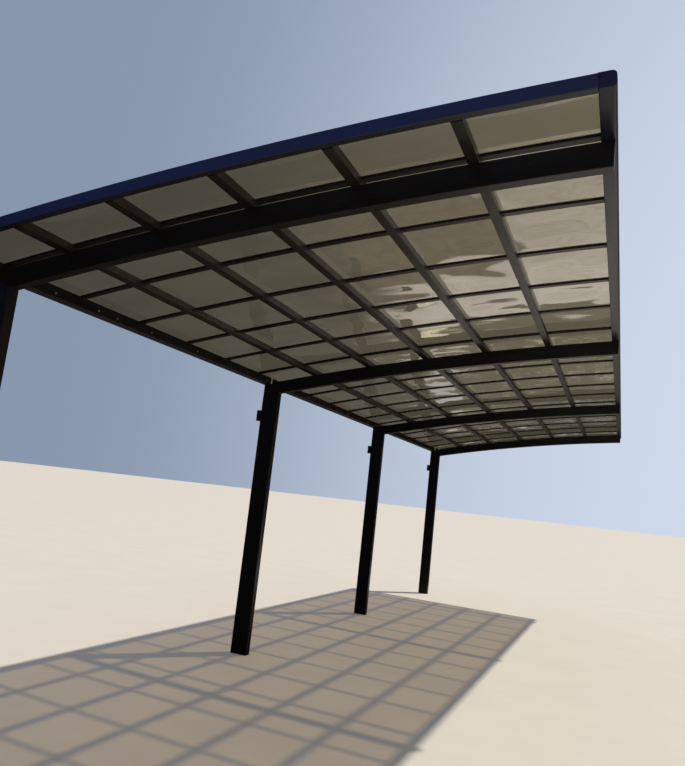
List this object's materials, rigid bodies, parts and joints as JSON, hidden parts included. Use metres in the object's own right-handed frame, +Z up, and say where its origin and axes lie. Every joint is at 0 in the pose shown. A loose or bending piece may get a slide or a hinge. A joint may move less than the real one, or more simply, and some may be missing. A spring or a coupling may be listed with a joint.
{
  "type": "cantilever carport",
  "caption": "Long carport on one row of posts, with arched cantilever beams, purlins, rear gutter and curved tinted roof sheets, fixed to ground and wall.",
  "frame": {"origin": "centre of the foot of post_1, the post at the near end of the row, on the ground", "axes": "+X from the posts to the roof's front edge, +Y along the row of posts from post_1 to post_4, +Z up"},
  "size_m": [3.3245, 10.883, 3.1444],
  "materials": {
    "post_paint": "dark brown-black powder coat, semi-gloss",
    "beam_paint": "dark brown-black powder coat, semi-gloss",
    "purlin_paint": "dark coffee brown powder coat, semi-gloss",
    "edge_paint": "dark brown-black powder coat, semi-gloss",
    "gutter_paint": "dark brown-grey powder coat, semi-gloss",
    "trim_paint": "dark brown-black powder coat, semi-gloss",
    "tinted_sheet": "smoky brown tinted solid polycarbonate, glossy"
  },
  "bodies": {
    "root": {"post_1": "post_paint", "main_beam_1": "beam_paint", "wall_bracket_1": "post_paint", "post_2": "post_paint", "main_beam_2": "beam_paint", "wall_bracket_2": "post_paint", "post_3": "post_paint", "main_beam_3": "beam_paint", "wall_bracket_3": "post_paint", "post_4": "post_paint", "main_beam_4": "beam_paint", "wall_bracket_4": "post_paint", "purlin_1": "purlin_paint", "purlin_2": "purlin_paint", "purlin_3": "purlin_paint", "purlin_4": "purlin_paint", "purlin_5": "purlin_paint", "front_edge_beam": "edge_paint", "rear_gutter": "gutter_paint", "near_end_beam": "edge_paint", "far_end_beam": "edge_paint", "crossbars_bay_1": "trim_paint", "cover_strips_bay_1": "trim_paint", "crossbars_bay_2": "trim_paint", "cover_strips_bay_2": "trim_paint", "crossbars_bay_3": "trim_paint", "cover_strips_bay_3": "trim_paint", "roof_sheet_01": "tinted_sheet", "roof_sheet_02": "tinted_sheet", "roof_sheet_03": "tinted_sheet", "roof_sheet_04": "tinted_sheet", "roof_sheet_05": "tinted_sheet", "roof_sheet_06": "tinted_sheet", "roof_sheet_07": "tinted_sheet", "roof_sheet_08": "tinted_sheet", "roof_sheet_09": "tinted_sheet", "roof_sheet_10": "tinted_sheet", "roof_sheet_11": "tinted_sheet", "roof_sheet_12": "tinted_sheet", "roof_sheet_13": "tinted_sheet", "roof_sheet_14": "tinted_sheet", "roof_sheet_15": "tinted_sheet", "roof_sheet_16": "tinted_sheet", "roof_sheet_17": "tinted_sheet", "roof_sheet_18": "tinted_sheet"}
  },
  "joints": []
}
